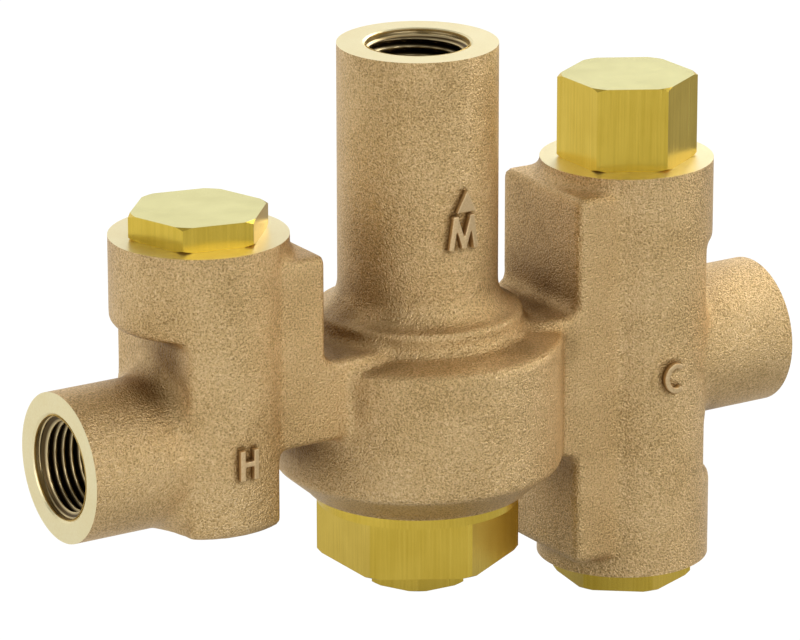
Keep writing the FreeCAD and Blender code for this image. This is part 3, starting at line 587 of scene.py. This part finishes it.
def add_relief(tree, surface, height, strength, distance):
    """Bumps a surface by a height that is a share of a distance."""
    relief = tree.nodes.new("ShaderNodeBump")
    relief.inputs["Strength"].default_value = strength
    relief.inputs["Distance"].default_value = distance
    feed(tree, height, relief.inputs["Height"])
    feed(tree, relief.outputs["Normal"], surface.inputs["Normal"])


grain = bpy.data.node_groups.new("blasted_grain", "ShaderNodeTree")
group_socket(grain, "Grains per metre", "NodeSocketFloat", GRAINS_PER_METRE)
for name in ("Height", "Crumbs", "Patches"):
    group_socket(grain, name, "NodeSocketFloat", output=True)
grain_in = grain.nodes.new("NodeGroupInput")
grain_out = grain.nodes.new("NodeGroupOutput")
grain_place = grain.nodes.new("ShaderNodeTexCoord").outputs["Object"]
crumbs = noise_node(grain, grain_place, grain_in.outputs["Grains per metre"], 2.0)
crumbs.inputs["Roughness"].default_value = 0.55
waves = noise_node(grain, grain_place, WAVES_PER_METRE, 2.0)
patches = noise_node(grain, grain_place, PATCHES_PER_METRE, 3.0)
grain_height = math_node(grain, "ADD", crumbs.outputs["Fac"],
                         math_node(grain, "MULTIPLY", waves.outputs["Fac"], WAVES_SHARE))
feed(grain, grain_height, grain_out.inputs["Height"])
feed(grain, crumbs.outputs["Fac"], grain_out.inputs["Crumbs"])
feed(grain, patches.outputs["Fac"], grain_out.inputs["Patches"])


def grain_look(name, dark, middle, light, roughness, bump, metallic=0.0):
    """Grainy stuff: the crumbs run from a dark to a light tone, and patches shift them a little.
    On metal, painted shade darkens the colour where little sky is seen."""
    look, tree, surface = new_look(name)
    pattern = placed_group(tree, grain)
    drift = math_node(tree, "SUBTRACT", pattern.outputs["Patches"], 0.5)
    shifted = math_node(tree, "ADD", pattern.outputs["Crumbs"],
                        math_node(tree, "MULTIPLY", drift, PATCH_SHIFT))
    colour = ramp_node(tree, shifted, *zip(CAST_STOPS, (dark, middle, light)))
    if metallic:
        # Painted shade: the colour darkens towards the tint where the corner's hidden sky is high.
        cover = tree.nodes.new("ShaderNodeAttribute")
        cover.attribute_name = "hidden_sky"
        painted_shade = range_node(tree, cover.outputs["Fac"], PAINTED_SHADE_RANGE, (0.0, PAINTED_SHADE_MOST))
        colour = colour_mix(tree, painted_shade, colour, PAINTED_SHADE_TINT, "MULTIPLY")
    feed(tree, colour, surface.inputs["Base Color"])
    add_relief(tree, surface, pattern.outputs["Height"], 1.0, bump)
    surface.inputs["Roughness"].default_value = roughness
    surface.inputs["Metallic"].default_value = metallic
    surface.inputs["Specular IOR Level"].default_value = CAST_SHINE
    return look


cast_bronze = grain_look("cast_bronze", CAST_DARK, CAST_MIDDLE, CAST_LIGHT, 0.36, 0.00042, 1.0)

# Turned metal: fine concentric or straight tool marks under a satin shine, and slow clouds of
# tarnish. The casting's turned faces, bores and water ways are cut out of it with this look.
CAST, FACED, BORED = 0, 1, 2
CLOUDS_PER_METRE = 110.0
MARKS_SHARE = 0.6
CLOUDS_SHARE = 0.4
MARKS_DARK = 0.35
MARKS_LIGHT = 0.65
MARKS_RELIEF = 0.5
FACED_ABOVE = 0.9
SMOOTHEST = 0.75
ROUGHEST = 1.3
TRIM_SPARE = 0.002
TRIM_PAST = 0.003
MOUTH_INSET = 0.00002
MOUTH_PAST = 0.001
SHARP_ABOVE = math.radians(38)

streaks = bpy.data.node_groups.new("tool_marks", "ShaderNodeTree")
group_socket(streaks, "Stretch", "NodeSocketVector", (1, 1, 1))
for name in ("Marks", "Clouds"):
    group_socket(streaks, name, "NodeSocketFloat", output=True)
streaks_in = streaks.nodes.new("NodeGroupInput")
streaks_out = streaks.nodes.new("NodeGroupOutput")
streaks_place = streaks.nodes.new("ShaderNodeTexCoord").outputs["Object"]
streaks_drawn = streaks.nodes.new("ShaderNodeVectorMath")
streaks_drawn.operation = "MULTIPLY"
feed(streaks, streaks_place, streaks_drawn.inputs[0])
feed(streaks, streaks_in.outputs["Stretch"], streaks_drawn.inputs[1])
marks = noise_node(streaks, streaks_drawn.outputs[0], 1.0, 3.0)
clouds = noise_node(streaks, streaks_place, CLOUDS_PER_METRE, 2.0)
feed(streaks, marks.outputs["Fac"], streaks_out.inputs["Marks"])
feed(streaks, clouds.outputs["Fac"], streaks_out.inputs["Clouds"])


def turned_look(name, base, shade, stretch, roughness, bump, faced=None):
    """Turned or drawn metal: marks stretched along the cut, and slow clouds of tarnish. Faces
    that look up or down may be paler: partly the lathe's facing, partly a painted sheen."""
    look, tree, surface = new_look(name)
    pattern = placed_group(tree, streaks)
    pattern.inputs["Stretch"].default_value = stretch
    mixed = math_node(tree, "ADD",
                      math_node(tree, "MULTIPLY", pattern.outputs["Marks"], MARKS_SHARE),
                      math_node(tree, "MULTIPLY", pattern.outputs["Clouds"], CLOUDS_SHARE))
    colour = ramp_node(tree, mixed, (MARKS_DARK, shade), (MARKS_LIGHT, base))
    if faced:
        # Painted sheen: faces that look up or down get a paler colour, partly standing for the bright sky
        # they mirror.
        split = tree.nodes.new("ShaderNodeSeparateXYZ")
        feed(tree, tree.nodes.new("ShaderNodeTexCoord").outputs["Normal"], split.inputs[0])
        level = math_node(tree, "GREATER_THAN", math_node(tree, "ABSOLUTE", split.outputs["Z"]),
                          FACED_ABOVE)
        mottle = colour_mix(tree, pattern.outputs["Clouds"], (*faced[0], 1), (*faced[1], 1))
        colour = colour_mix(tree, level, colour, mottle)
    feed(tree, colour, surface.inputs["Base Color"])
    add_relief(tree, surface, pattern.outputs["Marks"], MARKS_RELIEF, bump)
    spread = range_node(tree, pattern.outputs["Marks"], (0.0, 1.0),
                        (roughness * SMOOTHEST, roughness * ROUGHEST), "LINEAR")
    feed(tree, spread, surface.inputs["Roughness"])
    surface.inputs["Metallic"].default_value = 1.0
    return look


def looks_on(piece, which):
    """Gives a piece the body's looks, and one of them to all its faces."""
    for look in body_looks:
        piece.data.materials.append(look)
    piece.data.polygons.foreach_set("material_index", np.full(len(piece.data.polygons), which, np.int32))
    return piece


faced_bronze = turned_look("faced_bronze", (1.0, 0.90, 0.56), (0.95, 0.82, 0.46),
                           (2500, 2500, 2500), 0.36, 0.00001)
# The bores' darker tone is painted shade inside them.
bored_bronze = turned_look("bored_bronze", (0.62, 0.47, 0.24), (0.45, 0.33, 0.15),
                           (900, 900, 2600), 0.42, 0.00003)
body_looks = (cast_bronze, faced_bronze, bored_bronze)
body_skin.data.materials.clear()
looks_on(body_skin, CAST)
for axis, face, radius in OPENINGS:
    trim = plug("trim", axis, face, radius + TRIM_SPARE, 0, STUB_REACH + TRIM_PAST)
    combined(body_skin, looks_on(trim, FACED), "DIFFERENCE")
for way in water_ways:
    combined(body_skin, looks_on(way, BORED), "DIFFERENCE")
for axis, face, radius in OPENINGS:
    edge = mouth_radius(machined, axis, face, radius) - MOUTH_INSET
    mouth = plug("mouth", axis, face, edge, -STUB_DEPTH - MOUTH_PAST, MOUTH_PAST)
    combined(mouth, duplicate(machined, "mouth_wall"), "DIFFERENCE")
    combined(body_skin, looks_on(mouth, BORED), "DIFFERENCE")
bpy.data.objects.remove(machined)
use = np.empty(len(body_skin.data.polygons), np.int32)
body_skin.data.polygons.foreach_get("material_index", use)
body_skin.data.set_sharp_from_angle(angle=SHARP_ABOVE)
body_skin.data.polygons.foreach_set("use_smooth", use != FACED)
# Where much sky is hidden close by, the casting's colour gets painted shade.
hidden_sky(body_skin)
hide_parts("valve_body")
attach(body_skin, "casing")

# Four signs stand little more than a millimetre proud of the casting, drawn with plain strokes:
# which side is hot, which is cold, where the mixed water leaves, and an arrowhead for its flow.
SIGN_HEIGHT = 0.0013
SIGN_ROOT = 0.0008
SIGN_STROKE = 0.00105
SIGN_DRAFT = 0.00016
SIGN_VOXEL = 0.00015
SIGN_SOFTENING = 0.5
SIGN_SHADE = 0.26
SIGN_SHADE_FALL = 0.34
HOT_SIGN_LEVEL = -0.0752
COLD_SIGN_LEVEL = -0.0755
MIXED_SIGN_LEVEL = -0.0358
FLOW_SIGN_LEVEL = -0.0293
FLOW_SIGN_BEARING = -88.0
FLOW_SIGN_SIZE = 0.0044
PRISM = [(3, 2, 1, 0), (4, 5, 6, 7), (0, 1, 5, 4), (1, 2, 6, 5), (2, 3, 7, 6), (3, 0, 4, 7)]


def bar(start, end):
    """A straight stroke as a prism: its two ends and half its width each way, wider at the root."""
    a, b = np.array(start, float), np.array(end, float)
    along = (b - a) / np.linalg.norm(b - a)
    across = np.array([-along[1], along[0]])
    flat = []
    for half, level in ((SIGN_STROKE / 2 + SIGN_DRAFT, -SIGN_ROOT), (SIGN_STROKE / 2, SIGN_HEIGHT)):
        corners = [a - across * half - along * half, b - across * half + along * half,
                   b + across * half + along * half, a + across * half - along * half]
        flat.extend([(*corner, level) for corner in corners])
    return np.array(flat), PRISM


def arc_stroke(width, height, start, end, steps=28):
    """A stroke along part of an ellipse. At angle t its middle is (width cos t, height sin t),
    and its four corners stand half a stroke in and out, wider at the root than at the top."""
    t = np.radians(np.linspace(start, end, steps))
    middle = np.stack([width * np.cos(t), height * np.sin(t)], -1)
    out = np.stack([np.cos(t) / width, np.sin(t) / height], -1)
    out /= np.linalg.norm(out, axis=1)[:, None]
    low, high = SIGN_STROKE / 2 + SIGN_DRAFT, SIGN_STROKE / 2
    rails = []
    for half, level in ((-low, -SIGN_ROOT), (low, -SIGN_ROOT), (high, SIGN_HEIGHT), (-high, SIGN_HEIGHT)):
        rails.append(np.column_stack([middle + out * half, np.full(steps, level)]))
    points = np.stack(rails, 1).reshape(-1, 3)
    row, side = np.meshgrid(np.arange(steps - 1), np.arange(4), indexing="ij")
    after = (side + 1) % 4
    faces = np.stack([row * 4 + side, row * 4 + after, (row + 1) * 4 + after, (row + 1) * 4 + side],
                     -1).reshape(-1, 4).tolist()
    faces += [[3, 2, 1, 0], [len(points) - 4 + corner for corner in range(4)]]
    return points, faces


def arrowhead(width, height):
    """A solid triangle that points up, wider at its root than at its top."""
    flat = []
    for grow, level in ((SIGN_DRAFT, -SIGN_ROOT), (0, SIGN_HEIGHT)):
        flat += [(-width / 2 - grow, -height / 2 - grow, level),
                 (width / 2 + grow, -height / 2 - grow, level), (0, height / 2 + grow, level)]
    return np.array(flat), [(2, 1, 0), (3, 4, 5), (0, 1, 4, 3), (1, 2, 5, 4), (2, 0, 3, 5)]


def shade_round(piece, sign, most=0.22, width=0.0009, window=0.008, every=3):
    """Raises the piece's hidden_sky near a sign, for a painted shade round it: to most at the sign,
    and at a distance d from it to most times e to the minus (d / width) squared. Only corners in a
    window round the sign are measured, against one in every few of the sign's."""
    spots = corners_of(sign)[::every]
    corners = corners_of(piece)
    close = np.flatnonzero(np.all(np.abs(corners - (spots.max(0) + spots.min(0)) / 2) < window, axis=1))
    gap = np.sqrt(((corners[close, None, :] - spots[None, :, :]) ** 2).sum(-1)).min(1)
    cover = piece.data.attributes["hidden_sky"]
    values = np.empty(len(corners), np.float32)
    cover.data.foreach_get("value", values)
    values[close] = np.maximum(values[close], most * np.exp(-(gap / width) ** 2))
    cover.data.foreach_set("value", values)


def raised_sign(name, strokes, axis_x, level, radius, bearing=-90.0):
    """Bends flat strokes round an upright cylinder and melts them into one sign. A flat point
    (u, v, w) goes to the angle bearing + u / radius, the height level + v, and radius + w."""
    points, faces, count = [], [], 0
    for corners, sides in strokes:
        points.append(corners)
        faces += [[corner + count for corner in side] for side in sides]
        count += len(corners)
    u, v, w = np.concatenate(points).T
    angle = math.radians(bearing) + u / radius
    bent = np.stack([axis_x + (radius + w) * np.cos(angle), (radius + w) * np.sin(angle), level + v], -1)
    sign = tidied(mesh_piece(name, bent, faces))
    recast(sign, SIGN_VOXEL)
    soften = sign.modifiers.new("soften", "SMOOTH")
    soften.factor = SIGN_SOFTENING
    soften.iterations = 1
    settled(sign)
    sign.data.shade_smooth()
    x, y, _ = corners_of(sign).T
    proud = np.hypot(x - axis_x, y) - radius
    # Painted shade: the sign is darkest at its root and has none at its top, and the casting round it
    # gets painted shade too.
    store(sign, "hidden_sky", np.clip(SIGN_SHADE - SIGN_SHADE_FALL * proud / SIGN_HEIGHT, 0, SIGN_SHADE))
    shade_round(body_skin, sign)
    sign.data.materials.clear()
    sign.data.materials.append(sign_bronze)
    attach(sign, "casing")


sign_bronze = grain_look("sign_bronze", (0.72, 0.51, 0.26), (0.80, 0.58, 0.31), (0.86, 0.64, 0.36),
                         0.45, 0.00005, 0.9)
hot_strokes = [bar((-0.00145, -0.0026), (-0.00145, 0.0026)), bar((0.00145, -0.0026), (0.00145, 0.0026)),
               bar((-0.00145, 0.0002), (0.00145, 0.0002))]
mixed_strokes = [bar((-0.0027, -0.0030), (-0.0018, 0.0030)), bar((-0.0018, 0.0030), (0, -0.0028)),
                 bar((0, -0.0028), (0.0018, 0.0030)), bar((0.0018, 0.0030), (0.0027, -0.0030))]
flow_strokes = [arrowhead(FLOW_SIGN_SIZE, FLOW_SIGN_SIZE)]
cold_strokes = [arc_stroke(0.0021, 0.0027, 52, 308)]
raised_sign("hot_sign", hot_strokes, -COLUMN_OFFSET, HOT_SIGN_LEVEL, COLUMN_RADIUS)
raised_sign("mixed_sign", mixed_strokes, 0, MIXED_SIGN_LEVEL, TUBE_RADIUS)
raised_sign("flow_sign", flow_strokes, 0, FLOW_SIGN_LEVEL, TUBE_RADIUS, FLOW_SIGN_BEARING)
raised_sign("cold_sign", cold_strokes, COLUMN_OFFSET, COLD_SIGN_LEVEL, COLUMN_RADIUS)

# Each pipe end holds a female taper thread, cut to a shallow angle and started on a chamfer.
# Its crests are bright metal, and its roots are painted dark as shade.
THREAD_PITCH = 0.001814
THREAD_ROOT = 0.01056
THREAD_DEPTH = 0.00125
THREAD_LENGTH = 0.0158
THREAD_TAPER = 1 / 32
THREAD_OUTER = 0.01075
THREAD_START = 0.0018
THREAD_EARLY = 0.0006
THREAD_FADE_IN = 0.0008
TOOTH_TOP = 1.15
TOOTH_SLOPE = 2.3
RUNOUT_TURNS = 1.5
MOUTH_RADIUS = 0.01125
SLEEVE_INSET = 0.0007
CREST_FADE = 0.0004
TURN_STEPS = 112
PITCH_STEPS = 20
THREAD_SHARP_ABOVE = math.radians(35)


def thread_piece(name, along, start):
    """A pipe end's thread as a thin closed sleeve. At depth d and angle t the inner wall's radius
    is the root's, less the thread's depth times a tooth that follows d / pitch - t / a full
    turn, less d times the taper, and never less than the 45 degree chamfer leaves."""
    axis = -Vector(along)
    side = axis.orthogonal().normalized()
    other = axis.cross(side)
    rows = int(THREAD_LENGTH / THREAD_PITCH * PITCH_STEPS) + 1
    depth = np.linspace(0.0, THREAD_LENGTH, rows)
    swing = np.linspace(0, 2 * math.pi, TURN_STEPS, endpoint=False)
    d, t = np.meshgrid(depth, swing, indexing="ij")
    phase = np.mod(d / THREAD_PITCH - t / (2 * math.pi), 1.0)
    tooth = np.clip(TOOTH_TOP - np.abs(phase - 0.5) * TOOTH_SLOPE, 0.0, 1.0)
    tooth = tooth * np.clip((d - THREAD_START + THREAD_EARLY) / THREAD_FADE_IN, 0.0, 1.0)
    runout = np.clip((THREAD_LENGTH - d) / (RUNOUT_TURNS * THREAD_PITCH), 0.0, 1.0)
    radius = THREAD_ROOT - THREAD_DEPTH * tooth * runout - d * THREAD_TAPER * runout
    radius = np.maximum(radius, np.minimum(MOUTH_RADIUS - d, THREAD_ROOT))
    outer = np.full_like(radius[:1], THREAD_OUTER)
    radius = np.concatenate([radius, outer, outer, radius[:1]])
    d = np.concatenate([d, d[-1:], d[:1] + SLEEVE_INSET, d[:1] + SLEEVE_INSET])
    d[0] = d[-1]
    radius[0] = radius[-1] = THREAD_ROOT
    t = np.concatenate([t, t[:3]])
    points = (np.array(start) + d[..., None] * np.array(axis)
              + radius[..., None] * (np.cos(t)[..., None] * np.array(side)
                                     + np.sin(t)[..., None] * np.array(other)))
    row, column = np.meshgrid(np.arange(len(d) - 1), np.arange(TURN_STEPS), indexing="ij")
    after = (column + 1) % TURN_STEPS
    faces = np.stack([row * TURN_STEPS + column, (row + 1) * TURN_STEPS + column,
                      (row + 1) * TURN_STEPS + after, row * TURN_STEPS + after], -1).reshape(-1, 4)
    thread = tidied(mesh_piece(name, points.reshape(-1, 3), faces))
    offset = corners_of(thread) - np.array(start)
    deep = offset @ np.array(axis)
    away = np.linalg.norm(offset - deep[:, None] * np.array(axis), axis=1)
    crest = np.clip((THREAD_ROOT - deep * THREAD_TAPER - away) / THREAD_DEPTH, 0, 1)
    store(thread, "crest", np.maximum(crest, np.clip((THREAD_START - deep) / CREST_FADE, 0, 1)))
    return thread


thread_bronze, thread_tree, thread_surface = new_look("thread_bronze")
thread_crest = thread_tree.nodes.new("ShaderNodeAttribute")
thread_crest.attribute_name = "crest"
# Painted shade: the thread's colour turns dark away from the crests, in the roots.
thread_tone_and_root_shade = ramp_node(thread_tree, thread_crest.outputs["Fac"], (0.55, (0.10, 0.066, 0.028)),
                        (0.97, (0.82, 0.66, 0.36)))
feed(thread_tree, thread_tone_and_root_shade, thread_surface.inputs["Base Color"])
thread_surface.inputs["Metallic"].default_value = 1.0
thread_surface.inputs["Roughness"].default_value = 0.32
for name, (along, start, _) in zip(("outlet_thread", "hot_inlet_thread", "cold_inlet_thread"), OPENINGS):
    thread = thread_piece(name, along, start)
    thread.data.shade_smooth()
    thread.data.set_sharp_from_angle(angle=THREAD_SHARP_ABOVE)
    thread.data.materials.append(thread_bronze)
    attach(thread, "casing")

# The caps, the plug, the bonnet and its cover are turned from hexagon brass bar. The flats keep
# the bar's drawn lines, and the faced ends keep the lathe's.


def dress(look, *names):
    """Gives nodes of the CAD model a look."""
    for name in names:
        nodes[name].data.materials.clear()
        nodes[name].data.materials.append(look)


bar_brass = turned_look("bar_brass", (0.84, 0.61, 0.095), (0.71, 0.50, 0.060), (2200, 2200, 50),
                        0.24, 0.000003, faced=((0.72, 0.66, 0.24), (0.96, 0.90, 0.40)))
dress(bar_brass, "hot_check_cap", "bypass_cap", "cold_check_plug", "element_bonnet", "stem_cover_cap")

# The stem, its carrier and the plunger are turned from round brass bar.
stem_brass = turned_look("stem_brass", (0.80, 0.61, 0.24), (0.70, 0.51, 0.18),
                         (700, 700, 3000), 0.30, 0.00001)
dress(stem_brass, "adjusting_stem", "stem_carrier", "overtravel_plunger")

# Springs, retaining rings, seats and the rod are stainless steel, drawn, pressed or ground.
wire_steel = turned_look("wire_steel", (0.62, 0.61, 0.59), (0.48, 0.47, 0.46),
                         (900, 900, 900), 0.28, 0.00001)
dress(wire_steel, "stem_ring", "plunger_ring", "element_clip", "hot_check_seat", "cold_check_seat",
      "bypass_seat", "element_rod")

# Each spring that a joint presses is drawn as a copy of its CAD shape in stainless steel, and the
# CAD spring is hidden.
for joint in frame["record"]["behaviour"]["joints"]:
    for spring in joint.get("deforming_nodes", ()):
        wire = duplicate(nodes[spring["node"]], spring["node"] + "_wire")
        wire.data.materials.append(wire_steel)
        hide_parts(spring["node"])
        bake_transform(wire)

# The shuttle is brass with a plating of nickel, and the element's cup is drawn copper.
plated_brass = turned_look("plated_brass", (0.72, 0.70, 0.66), (0.62, 0.60, 0.55),
                           (500, 500, 2600), 0.24, 0.00001)
drawn_copper = turned_look("drawn_copper", (0.80, 0.42, 0.26), (0.66, 0.31, 0.18),
                           (400, 400, 2200), 0.32, 0.00001)
dress(plated_brass, "mixing_shuttle")
dress(drawn_copper, "element_capsule")

# Poppets are moulded in a pale plastic with a fine spark-eroded grain.
# The discs and rings are rubber, and the gasket is pressed fibre.
moulded_plastic = grain_look("moulded_plastic", (0.66, 0.63, 0.55), (0.72, 0.69, 0.61),
                             (0.76, 0.73, 0.66), 0.50, 0.00001)
seal_rubber = grain_look("seal_rubber", (0.010, 0.010, 0.010), (0.018, 0.018, 0.018),
                         (0.030, 0.030, 0.030), 0.55, 0.00001)
pressed_fibre = grain_look("pressed_fibre", (0.10, 0.07, 0.05), (0.16, 0.12, 0.09),
                           (0.24, 0.19, 0.14), 0.75, 0.00002)
dress(moulded_plastic, "hot_check_poppet", "cold_check_poppet", "bypass_poppet")
dress(seal_rubber, "hot_check_disc", "cold_check_disc", "bypass_disc", "hot_check_oring",
      "cold_check_oring", "bypass_oring", "stem_oring", "shuttle_oring")
dress(pressed_fibre, "bonnet_gasket")
